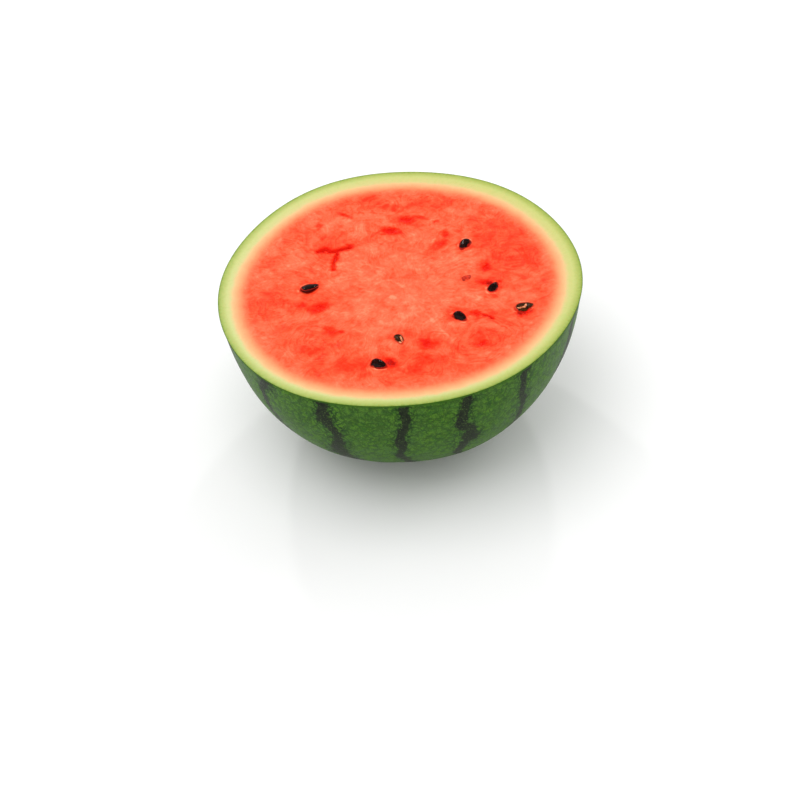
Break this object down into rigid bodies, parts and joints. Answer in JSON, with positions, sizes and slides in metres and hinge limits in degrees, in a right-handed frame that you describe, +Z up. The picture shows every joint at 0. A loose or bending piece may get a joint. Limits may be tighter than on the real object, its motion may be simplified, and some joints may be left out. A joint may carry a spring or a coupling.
{
  "type": "watermelon half",
  "caption": "Half of a round watermelon, cut side up: striped green rind, pale edge, juicy red flesh and dark seeds in their sockets. It stands on a small flat spot.",
  "frame": {"origin": "on the surface that the half stands on, under the middle of its outline", "axes": "+Z up, out of the level cut face; +Y away from the side that is meant to be seen first, with +X to its right"},
  "size_m": [0.2298, 0.2262, 0.1106],
  "materials": {
    "melon": "satin",
    "seed_black": "gloss",
    "seed_cut": "satin",
    "seed_pale": "satin"
  },
  "bodies": {
    "root": {"melon_half": "melon", "seed_1": "seed_black", "seed_2": "seed_black", "seed_3": "seed_black", "seed_4": "seed_cut", "seed_5": "seed_black", "seed_6": "seed_cut", "seed_7": "seed_black", "seed_8": "seed_pale"}
  },
  "joints": []
}
